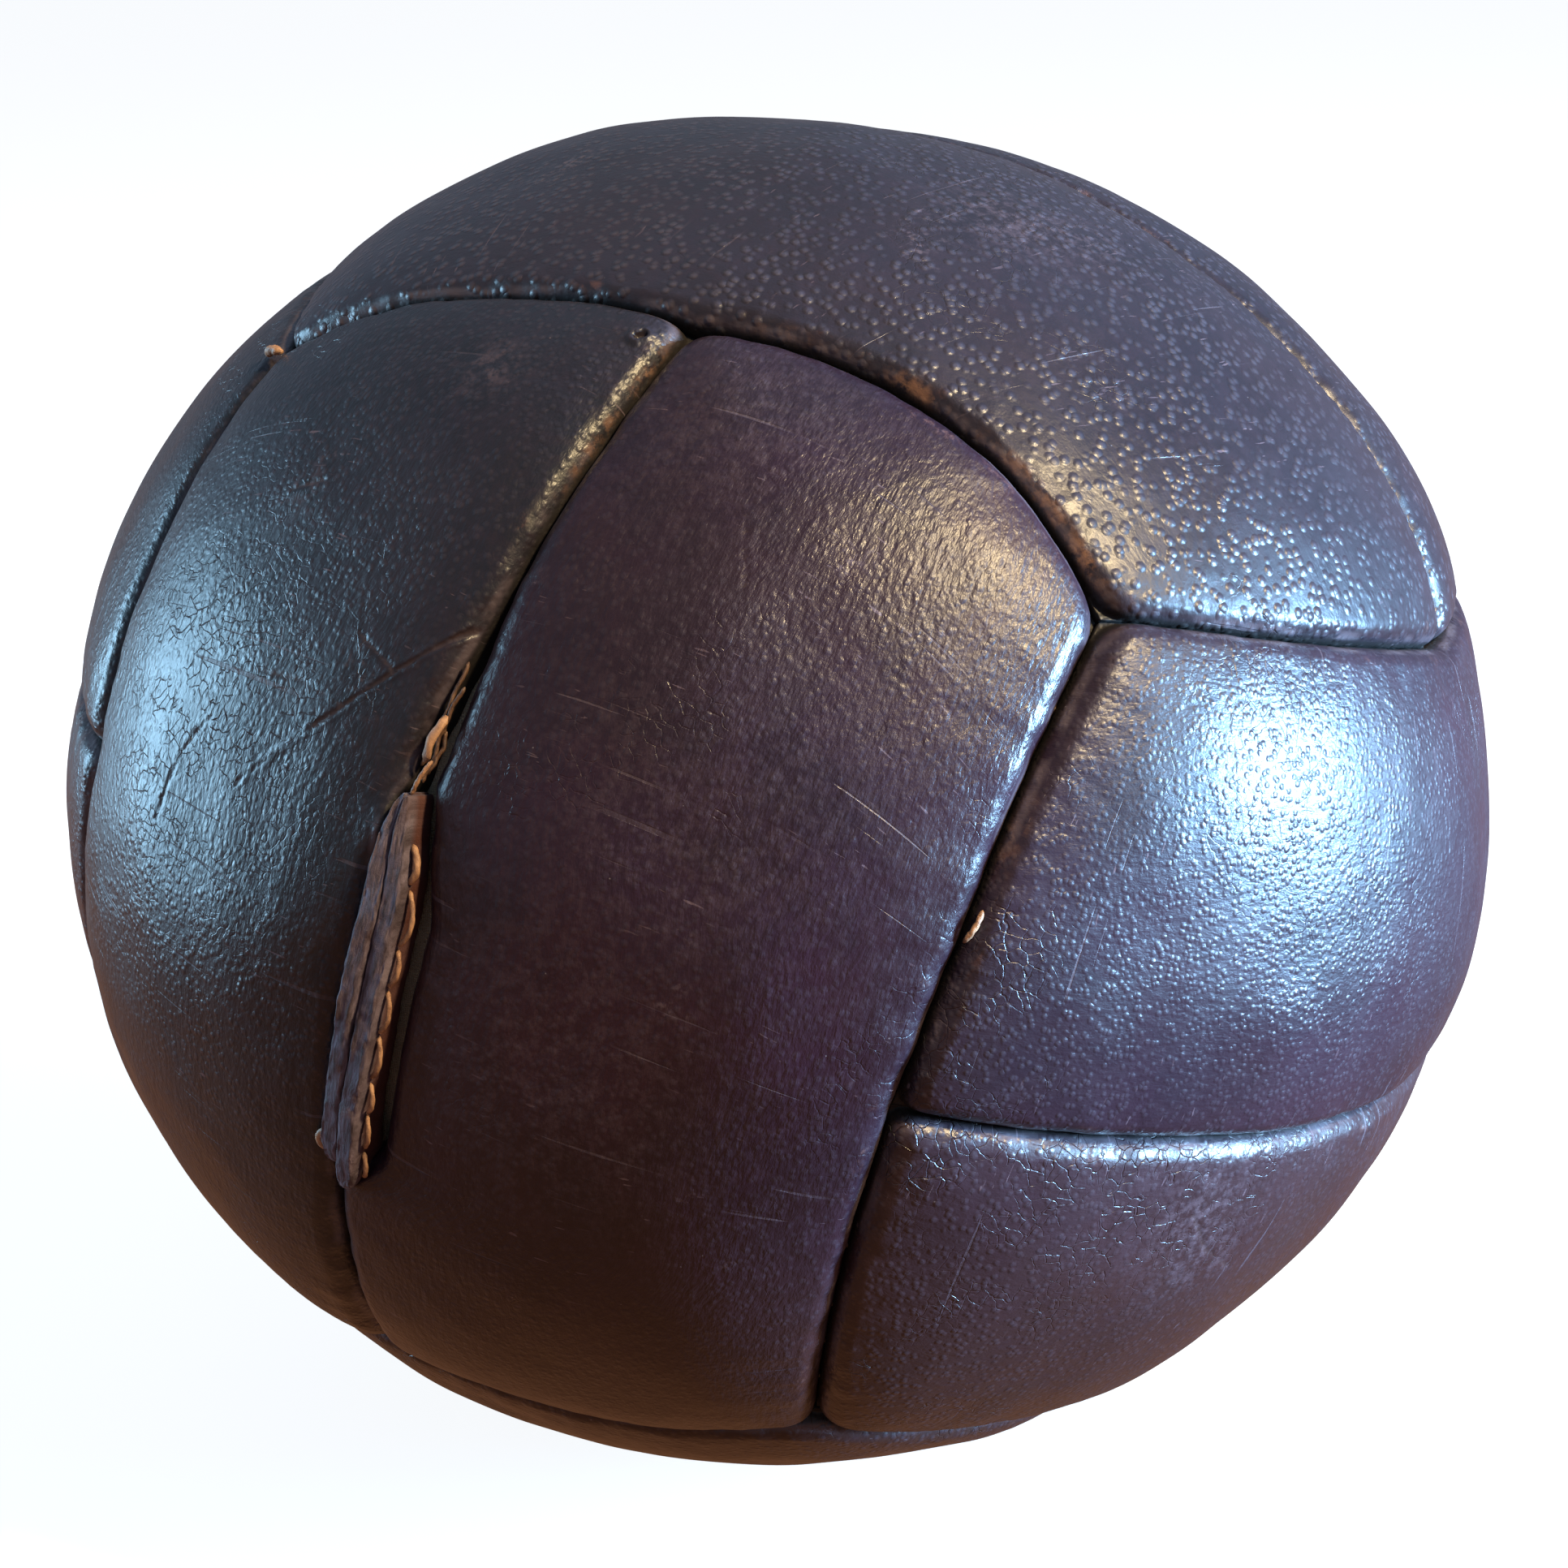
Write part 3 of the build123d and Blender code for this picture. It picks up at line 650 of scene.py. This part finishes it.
# ---- Materials ----
class Nodes:
    """Short way to build a node material."""

    def __init__(self, name):
        self.material = bpy.data.materials.new(name)
        self.material.use_nodes = True
        self.tree = self.material.node_tree
        self.shader = self.tree.nodes["Principled BSDF"]
        self.coord = self.add("ShaderNodeTexCoord").outputs["Object"]

    def add(self, kind, **settings):
        node = self.tree.nodes.new(kind)
        for key, value in settings.items():
            setattr(node, key, value)
        return node

    def link(self, value, socket):
        if isinstance(value, bpy.types.NodeSocket):
            self.tree.links.new(value, socket)
        else:
            socket.default_value = value

    def math(self, operation, a, b=0.0, clamp=False):
        node = self.add("ShaderNodeMath", operation=operation, use_clamp=clamp)
        self.link(a, node.inputs[0])
        self.link(b, node.inputs[1])
        return node.outputs[0]

    def attribute(self, name):
        return self.add("ShaderNodeAttribute", attribute_name=name).outputs["Fac"]

    def uv(self):
        return self.add("ShaderNodeUVMap", uv_map="panel").outputs[0]

    def stretched(self, vector, scale, turn=0.0):
        node = self.add("ShaderNodeMapping")
        self.link(vector, node.inputs["Vector"])
        node.inputs["Scale"].default_value = scale
        node.inputs["Rotation"].default_value = (0, 0, math.radians(turn))
        return node.outputs[0]

    def noise(self, scale, detail=3.0, rough=0.55, vector=None, distort=0.0):
        node = self.add("ShaderNodeTexNoise")
        self.link(self.coord if vector is None else vector, node.inputs["Vector"])
        node.inputs["Scale"].default_value = scale
        node.inputs["Detail"].default_value = detail
        node.inputs["Roughness"].default_value = rough
        node.inputs["Distortion"].default_value = distort
        return node.outputs["Fac"]

    def cells(self, scale, feature="F1", vector=None):
        node = self.add("ShaderNodeTexVoronoi", feature=feature)
        self.link(self.coord if vector is None else vector, node.inputs["Vector"])
        node.inputs["Scale"].default_value = scale
        return node.outputs["Distance"]

    def warped(self, reach):
        """Object coordinates pushed about by noise, so that cells lose their straight edges."""
        node = self.add("ShaderNodeTexNoise")
        self.link(self.coord, node.inputs["Vector"])
        node.inputs["Scale"].default_value = 120.0
        node.inputs["Detail"].default_value = 3.0
        push = self.add("ShaderNodeVectorMath", operation="MULTIPLY_ADD")
        self.link(node.outputs["Color"], push.inputs[0])
        push.inputs[1].default_value = (reach, reach, reach)
        self.link(self.coord, push.inputs[2])
        return push.outputs[0]

    def ramp(self, value, start, stop, low=0.0, high=1.0):
        node = self.add("ShaderNodeMapRange", interpolation_type="SMOOTHSTEP")
        self.link(value, node.inputs["Value"])
        for key, number in (("From Min", start), ("From Max", stop), ("To Min", low), ("To Max", high)):
            node.inputs[key].default_value = number
        return node.outputs["Result"]

    def mix(self, share, a, b):
        node = self.add("ShaderNodeMix", data_type="RGBA")
        self.link(share, node.inputs["Factor"])
        for value, socket in ((a, node.inputs[6]), (b, node.inputs[7])):
            self.link(value if isinstance(value, bpy.types.NodeSocket) else (*value, 1), socket)
        return node.outputs[2]

    def bump(self, height, strength, distance, normal=None):
        node = self.add("ShaderNodeBump")
        self.link(height, node.inputs["Height"])
        node.inputs["Strength"].default_value = strength
        node.inputs["Distance"].default_value = distance
        if normal is not None:
            self.link(normal, node.inputs["Normal"])
        return node.outputs["Normal"]

    def finish(self, color, rough, normal, **fixed):
        self.link(color, self.shader.inputs["Base Color"])
        self.link(rough, self.shader.inputs["Roughness"])
        if normal is not None:
            self.link(normal, self.shader.inputs["Normal"])
        for key, value in fixed.items():
            self.shader.inputs[key.replace("_", " ")].default_value = value
        return self.material


# What shows through or lies on the leather, and the painted light and shade laid on it
# waxed_brown: random brown patches, and a painted warm bounce light on the ball's lower side
waxed_brown, mottle_tone, pebble_tone = (0.032, 0.0125, 0.0085), (0.034, 0.016, 0.027), (0.060, 0.050, 0.066)
# rim_highlight_grey: a painted highlight along each panel's edge
rubbed_red, bare_tan, rim_highlight_grey = (0.15, 0.065, 0.052), (0.27, 0.135, 0.075), (0.13, 0.10, 0.115)
# seam_shade_black: painted shade down in the seams
seam_shade_black, scratch_grey, cut_grey = (0.006, 0.0035, 0.003), (0.085, 0.060, 0.075), (0.07, 0.045, 0.045)
chalk_grey, fibre_grey, dust_grey = (0.17, 0.12, 0.14), (0.16, 0.11, 0.13), (0.22, 0.19, 0.20)
# Patterns in the leather: noise scale, detail and roughness
broad_tone, blue_tone, brown_patch = (16.0, 4.0, 0.6), (34.0, 5.0, 0.65), (22.0, 5.0, 0.62)
mottle, torn_edge, bare_edge = (420.0, 4.0, 0.7), (260.0, 6.0, 0.75), (330.0, 5.0, 0.7)
# rim_highlight_breaks: gaps in the painted edge highlight
rim_highlight_breaks, chalk_grain, scuff_patch = (90.0, 4.0, 0.6), (420.0, 6.0, 0.75), (48.0, 5.0, 0.7)
gloss_patch, soft_crease, fine_pore = (55.0, 5.0, 0.65), (70.0, 4.0, 0.6), (2600.0, 3.0, 0.6)
# Relief: strength where it is the same on every leather, and depth in metres
crease_relief, pore_relief, scratch_relief = (0.10, 0.0016), (0.25, 0.00012), (0.45, -0.00018)
streak_deep, pebble_deep, crack_deep = 0.00045, 0.00034, -0.00030
bounce_brown_from, bounce_brown_full = 0.115, 0.03              # heights in metres between which the ball turns brown: a painted warm bounce light from below
# Fine scratches: their direction in degrees, stretch of the noise, and how rare they are
scratch_runs = ((12, (14.0, 520.0, 1.0), 0.70), (-34, (20.0, 700.0, 1.0), 0.715),
                (74, (16.0, 610.0, 1.0), 0.715), (48, (26.0, 900.0, 1.0), 0.72))
leather_gloss = {"Specular_IOR_Level": 0.35, "Coat_Weight": 0.14, "Coat_Roughness": 0.24}


def worn_leather(name, plum, shade, pebble, pebble_size, streak, cracks=0.3):
    """Old waxed ball leather: plum black and brown, pebbled, scratched and rubbed at the seams, with a
    painted warm bounce light low down, a painted highlight along each edge and painted shade in the seams.
    """
    n = Nodes(name)
    uv = n.uv()
    tone = n.ramp(n.noise(*broad_tone), 0.35, 0.65)
    blue = n.ramp(n.noise(*blue_tone, distort=0.6), 0.42, 0.62)
    color = n.mix(tone, plum, shade)
    color = n.mix(n.math("MULTIPLY", blue, 0.5), color, tuple(0.75 * c for c in shade))
    # Browner towards the bottom, a painted warm bounce light from below, plus random brown patches in the
    # leather
    low = n.add("ShaderNodeSeparateXYZ")
    n.link(n.coord, low.inputs[0])
    lower = n.ramp(low.outputs["Z"], bounce_brown_from, bounce_brown_full)
    patch = n.ramp(n.noise(*brown_patch), 0.44, 0.66)
    brown = n.math("ADD", n.math("MULTIPLY", lower, 0.8), n.math("MULTIPLY", patch, 0.15), True)
    color = n.mix(brown, color, waxed_brown)
    mottled = n.ramp(n.noise(*mottle), 0.35, 0.75)
    color = n.mix(n.math("MULTIPLY", mottled, 0.25), color, mottle_tone)
    dots = n.ramp(n.cells(pebble_size), 0.55, 0.12)
    dots = n.math("MULTIPLY", dots, n.ramp(n.noise(26.0, 3.0), 0.35, 0.62, 0.55, 1.0))
    color = n.mix(n.math("MULTIPLY", dots, 0.9 * pebble), color, pebble_tone)
    # Rubbed shoulders along the seams, down to the tan underneath in places; then a painted highlight along
    # each edge and painted shade down in the seam
    seam = n.attribute("seam_mm")
    wear = n.attribute("wear")
    torn = n.ramp(n.noise(*torn_edge), 0.52, 0.70)
    rub = n.math("MULTIPLY", n.ramp(wear, 0.35, 0.95), torn)
    color = n.mix(n.math("MULTIPLY", rub, 0.5), color, rubbed_red)
    bare = n.math("MULTIPLY", n.attribute("bare"), n.ramp(n.noise(*bare_edge), 0.42, 0.62))
    color = n.mix(bare, color, bare_tan)
    # Painted highlight: a thin pale grey line along each panel's edge, for the light its rolled edge catches
    rim = n.math("MULTIPLY", n.ramp(seam, 0.35, 0.8), n.ramp(seam, 2.0, 1.1))
    rim = n.math("MULTIPLY", rim, n.ramp(n.noise(*rim_highlight_breaks), 0.42, 0.60))
    color = n.mix(n.math("MULTIPLY", rim, 0.5), color, rim_highlight_grey)
    # Painted shade: near black where the leather runs down into the seam
    painted_seam_shade = n.ramp(seam, 0.9, 0.1)
    color = n.mix(painted_seam_shade, color, seam_shade_black)
    # Fine scratches in four directions
    scratches = None
    for turn, stretch, limit in scratch_runs:
        lines = n.noise(1.0, 2.0, 0.4, vector=n.stretched(uv, stretch, turn), distort=0.15)
        gate = n.ramp(n.noise(30.0 + turn * 0.1, 2.0), 0.48, 0.62)
        line = n.math("MULTIPLY", n.ramp(lines, limit, limit + 0.03), gate)
        scratches = line if scratches is None else n.math("MAXIMUM", scratches, line)
    cut = n.attribute("cut")
    color = n.mix(n.math("MULTIPLY", scratches, 0.55), color, scratch_grey)
    color = n.mix(n.math("MULTIPLY", n.ramp(cut, 0.25, 0.9), 0.35), color, cut_grey)
    # Chalky scuffs, short pale fibres and dust specks
    chalk = n.math("MULTIPLY", n.attribute("chalk"), n.ramp(n.noise(*chalk_grain), 0.44, 0.62))
    scuff = n.math("MULTIPLY", n.ramp(n.noise(*scuff_patch), 0.62, 0.74),
                   n.ramp(n.noise(900.0, 2.0), 0.45, 0.7))
    color = n.mix(n.math("MULTIPLY", n.math("MAXIMUM", chalk, scuff), 0.40), color, chalk_grey)
    hairs = None
    for turn in (20, -50):
        lines = n.noise(1.0, 1.0, 0.4, vector=n.stretched(uv, (240.0, 1500.0, 1.0), turn), distort=0.5)
        hairs = lines if hairs is None else n.math("MAXIMUM", hairs, lines)
    hairs = n.math("MULTIPLY", n.ramp(hairs, 0.735, 0.77), n.ramp(n.noise(36.0, 3.0), 0.45, 0.6))
    color = n.mix(n.math("MULTIPLY", hairs, 0.5), color, fibre_grey)
    speck = n.ramp(n.cells(330.0), 0.055, 0.02)
    speck = n.math("MULTIPLY", speck, n.ramp(n.noise(120.0, 1.0), 0.56, 0.62))
    color = n.mix(n.math("MULTIPLY", speck, 0.6), color, dust_grey)
    # Gloss: waxed where handled, dull in the grain and the cuts
    rough = n.ramp(n.noise(*gloss_patch), 0.25, 0.75, 0.31, 0.42)
    rough = n.math("ADD", rough, n.math("MULTIPLY", mottled, 0.06))
    rough = n.math("ADD", rough, n.math("MULTIPLY", n.math("MAXIMUM", scratches, rub), 0.15))
    rough = n.math("ADD", rough, n.math("MULTIPLY", painted_seam_shade, 0.35), True)
    # Relief: broad creases, pebble, streaky grain, cracks and scratches
    normal = n.bump(n.noise(*soft_crease, distort=1.2), *crease_relief)
    grain = n.noise(1.0, 3.0, 0.6, vector=n.stretched(uv, (900.0, 300.0, 1.0), 6))
    normal = n.bump(grain, streak, streak_deep, normal)
    normal = n.bump(dots, pebble, pebble_deep, normal)
    crack = n.ramp(n.cells(400.0, "DISTANCE_TO_EDGE", vector=n.warped(0.006)), 0.05, 0.0)
    crack = n.math("MULTIPLY", crack, n.ramp(n.noise(150.0, 3.0), 0.42, 0.55))
    crack = n.math("MULTIPLY", crack, n.math("MAXIMUM", n.ramp(n.noise(24.0, 3.0), 0.55, 0.66),
                                             n.attribute("crackle"), True))
    normal = n.bump(crack, cracks, crack_deep, normal)
    normal = n.bump(n.noise(*fine_pore), *pore_relief, normal)
    normal = n.bump(n.math("MAXIMUM", scratches, n.math("MULTIPLY", cut, 0.8)), *scratch_relief, normal)
    n.link(normal, n.shader.inputs["Coat Normal"])
    return n.finish(color, rough, normal, **leather_gloss)


def raw_leather():
    """The fibrous cut edge of the closing strips, grey brown with dark lengthwise fibres."""
    n = Nodes("raw_leather")
    uv = n.uv()
    fibres = n.noise(1.0, 5.0, 0.65, vector=n.stretched(uv, (1500.0, 210.0, 1.0)))
    coarse = n.noise(1.0, 3.0, 0.6, vector=n.stretched(uv, (500.0, 110.0, 1.0)), distort=0.5)
    color = n.mix(n.ramp(fibres, 0.32, 0.68), (0.040, 0.028, 0.034), (0.160, 0.125, 0.160))
    color = n.mix(n.math("MULTIPLY", n.ramp(coarse, 0.50, 0.72), 0.55), color, (0.23, 0.185, 0.215))
    stain = n.ramp(n.noise(130.0, 4.0, 0.6), 0.45, 0.65)
    color = n.mix(n.math("MULTIPLY", stain, 0.35), color, (0.075, 0.030, 0.024))
    side = n.ramp(n.attribute("raw"), 0.35, 0.05)
    color = n.mix(n.math("MULTIPLY", side, 0.85), color, (0.070, 0.020, 0.012))
    normal = n.bump(fibres, 0.75, 0.0006)
    normal = n.bump(n.noise(2200.0, 4.0, 0.65), 0.5, 0.00025, normal)
    rough = n.ramp(fibres, 0.3, 0.7, 0.62, 0.86)
    return n.finish(color, rough, normal, Specular_IOR_Level=0.35)


def thread_material(name, dark, light):
    """Waxed linen thread, darker in random patches, with paler fuzz."""
    n = Nodes(name)
    grime = n.ramp(n.noise(420.0, 4.0, 0.6), 0.35, 0.70)
    color = n.mix(grime, light, dark)
    fuzz = n.noise(5200.0, 3.0, 0.6)
    paler = tuple(min(1, 1.5 * c) for c in light)
    color = n.mix(n.math("MULTIPLY", n.ramp(fuzz, 0.4, 0.7), 0.35), color, paler)
    normal = n.bump(fuzz, 0.5, 0.0002)
    rough = n.ramp(fuzz, 0.3, 0.7, 0.38, 0.62)
    return n.finish(color, rough, normal, Specular_IOR_Level=0.5)


def woven(name, dark, light, pitch):
    """Plain weave for the canvas bag and matted fibre for the filling."""
    n = Nodes(name)
    lines = []
    for axis in ("X", "Z"):
        wave = n.add("ShaderNodeTexWave", bands_direction=axis)
        n.link(n.coord, wave.inputs["Vector"])
        wave.inputs["Scale"].default_value = pitch
        wave.inputs["Distortion"].default_value = 0.4
        lines.append(wave.outputs["Fac"])
    weave = n.math("MULTIPLY", lines[0], lines[1])
    matted = n.noise(380.0, 6.0, 0.7)
    color = n.mix(n.math("ADD", n.math("MULTIPLY", weave, 0.4), n.math("MULTIPLY", matted, 0.6)), dark, light)
    normal = n.bump(n.math("ADD", weave, matted), 0.5, 0.0008)
    return n.finish(color, n.ramp(matted, 0.3, 0.7, 0.75, 0.95), normal)


def dress(obj, material):
    """Give a new mesh its only material."""
    obj.data.materials.clear()
    obj.data.materials.append(material)


# Each leather's two tones, pebble depth and size, streakiness and cracks
centre_leather = worn_leather("worn_leather_plum", (0.022, 0.0075, 0.016), (0.014, 0.006, 0.012),
                              0.18, 720.0, 0.50)
left_leather = worn_leather("worn_leather_black", (0.014, 0.011, 0.016), (0.010, 0.010, 0.014),
                            0.25, 760.0, 0.40, 0.7)
top_leather = worn_leather("worn_leather_pebbled", (0.021, 0.015, 0.021), (0.015, 0.012, 0.018),
                           0.65, 520.0, 0.15)
side_leather = worn_leather("worn_leather_violet", (0.024, 0.012, 0.022), (0.016, 0.010, 0.018),
                            0.30, 820.0, 0.30, 0.4)
low_leather = worn_leather("worn_leather_dusty", (0.036, 0.019, 0.026), (0.028, 0.016, 0.023),
                           0.30, 700.0, 0.25, 0.7)
leathers = {"panel_front_centre": centre_leather, "panel_front_left": left_leather,
            "panel_top_front": top_leather, "panel_top_back": top_leather,
            "panel_right_lower": low_leather, "panel_base_front": low_leather, "panel_base_back": low_leather,
            "panel_back_left": centre_leather, "panel_left_upper": left_leather}
raw = raw_leather()
tan_thread = thread_material("waxed_tan_thread", (0.15, 0.066, 0.034), (0.42, 0.23, 0.125))
brown_thread = thread_material("waxed_brown_thread", (0.030, 0.014, 0.009), (0.12, 0.058, 0.030))
canvas = woven("canvas_weave", (0.30, 0.25, 0.17), (0.55, 0.48, 0.36), 900.0)
felt = woven("matted_wadding", (0.16, 0.12, 0.08), (0.34, 0.27, 0.19), 300.0)
packing = woven("packed_hair", (0.08, 0.055, 0.035), (0.22, 0.16, 0.10), 200.0)

for name, skin in skins.items():
    dress(skin, leathers.get(name, side_leather))
for strip in strips:
    dress(strip, raw)
dress(closing, tan_thread)
dress(strands, brown_thread)
for seam_thread in seam_bits:
    dress(seam_thread, tan_thread)


def carried(node, material):
    """Give a CAD node that stays a real finish."""
    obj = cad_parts[node]
    for slot in range(len(obj.material_slots)):
        obj.material_slots[slot].material = material
    if not obj.material_slots:
        obj.data.materials.append(material)


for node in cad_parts:
    if node.startswith("thread_"):
        carried(node, brown_thread)
carried("wadding", felt)
carried("liner_bag", canvas)
carried("stuffing", packing)


# ---- Floor, camera and studio light ----
def stage_piece(name, points, faces, glow):
    """A plain, nearly white piece of the studio, which the leather doesn't mirror."""
    mesh = bpy.data.meshes.new(name)
    mesh.from_pydata(points, [], faces)
    paint = Nodes(name + "_paint")
    mesh.materials.append(paint.finish((stage_shade,) * 3 + (1,), 0.8, None, Specular_IOR_Level=0.0,
                                       Emission_Color=(1, 1, 1, 1), Emission_Strength=glow))
    obj = bpy.data.objects.new(name, mesh)
    bpy.context.scene.collection.objects.link(obj)
    obj.visible_glossy = False
    obj.visible_diffuse = False
    return obj


span, wall_high, ring_sides = 14.0, 9.0, 64       # metres
floor_at = -0.0004                                # just under the ball's foot
floor_glow, wall_glow, stage_shade = 0.88, 0.91, 0.30
ring = [(span * math.cos(2 * math.pi * k / ring_sides), span * math.sin(2 * math.pi * k / ring_sides))
        for k in range(ring_sides)]
stage_piece("floor", [(x, y, floor_at) for x, y in ring], [tuple(range(ring_sides))], floor_glow)
wall = stage_piece("backdrop", [(x, y, z) for z in (floor_at, wall_high) for x, y in ring],
                   [(k, (k + 1) % ring_sides, (k + 1) % ring_sides + ring_sides, k + ring_sides)
                    for k in range(ring_sides)], wall_glow)
wall.visible_shadow = False

camera_elevation, camera_roll, camera_lens = 20.0, -2.9, 63.3
camera_far = 4.0 * half_width / MM
camera_aside = 0.0010                             # the ball stands a millimetre off the picture's middle
camera_data = bpy.data.cameras.new("camera")
camera_data.sensor_width = 36.0
camera_data.lens = camera_lens
camera_data.clip_end = 50.0
camera = bpy.data.objects.new("camera", camera_data)
bpy.context.scene.collection.objects.link(camera)
middle = Vector(centre / MM)
aim = middle + Vector((camera_aside, 0.0, 0.0))
rise = math.radians(camera_elevation)
back = Vector((0, -math.cos(rise), math.sin(rise)))
camera.location = aim + back * camera_far
camera.rotation_mode = "QUATERNION"
camera.rotation_quaternion = Quaternion(back, math.radians(camera_roll)) @ back.to_track_quat("Z", "Y")
bpy.context.scene.camera = camera


def softbox(name, around, above, distance, size, power, color):
    """Area light that faces the ball, so many degrees round to the right and above the floor."""
    data = bpy.data.lights.new(name, "AREA")
    data.shape = "RECTANGLE"
    data.size, data.size_y = size
    data.energy = power
    data.color = color
    obj = bpy.data.objects.new(name, data)
    turn, up = math.radians(around), math.radians(above)
    d = Vector((math.sin(turn) * math.cos(up), -math.cos(turn) * math.cos(up), math.sin(up)))
    obj.location = middle + d * distance
    obj.rotation_mode = "QUATERNION"
    obj.rotation_quaternion = d.to_track_quat("Z", "Y")
    bpy.context.scene.collection.objects.link(obj)


# Each light: degrees round, degrees up, distance, size, watts and colour
softbox("right_window", 79, 3, 1.6, (0.26, 0.52), 215.0, (0.32, 0.63, 1.0))
softbox("left_window", -108, 5, 1.5, (0.62, 0.70), 25.0, (0.40, 0.72, 1.0))
softbox("room_lamp", 52, 45, 1.6, (0.16, 0.16), 42.0, (1.0, 0.76, 0.42))
softbox("ceiling", 180, 78, 1.8, (1.6, 1.6), 3.0, (0.55, 0.60, 1.0))

# The dim room around: warm below, cool above
warm_low, cool_high, room_strength = (0.40, 0.17, 0.08, 1), (0.22, 0.31, 0.43, 1), 0.8
world = bpy.data.worlds.new("studio")
world.use_nodes = True
sky = world.node_tree
direction = sky.nodes.new("ShaderNodeTexCoord")
split = sky.nodes.new("ShaderNodeSeparateXYZ")
sky.links.new(direction.outputs["Generated"], split.inputs[0])
fade = sky.nodes.new("ShaderNodeMapRange")
fade.inputs["From Min"].default_value = -0.25
fade.inputs["From Max"].default_value = 0.25
sky.links.new(split.outputs["Z"], fade.inputs["Value"])
blend = sky.nodes.new("ShaderNodeMix")
blend.data_type = "RGBA"
blend.inputs[6].default_value = warm_low
blend.inputs[7].default_value = cool_high
sky.links.new(fade.outputs["Result"], blend.inputs["Factor"])
sky.links.new(blend.outputs[2], sky.nodes["Background"].inputs["Color"])
sky.nodes["Background"].inputs["Strength"].default_value = room_strength
bpy.context.scene.world = world
bpy.context.scene.view_settings.view_transform = "Standard"
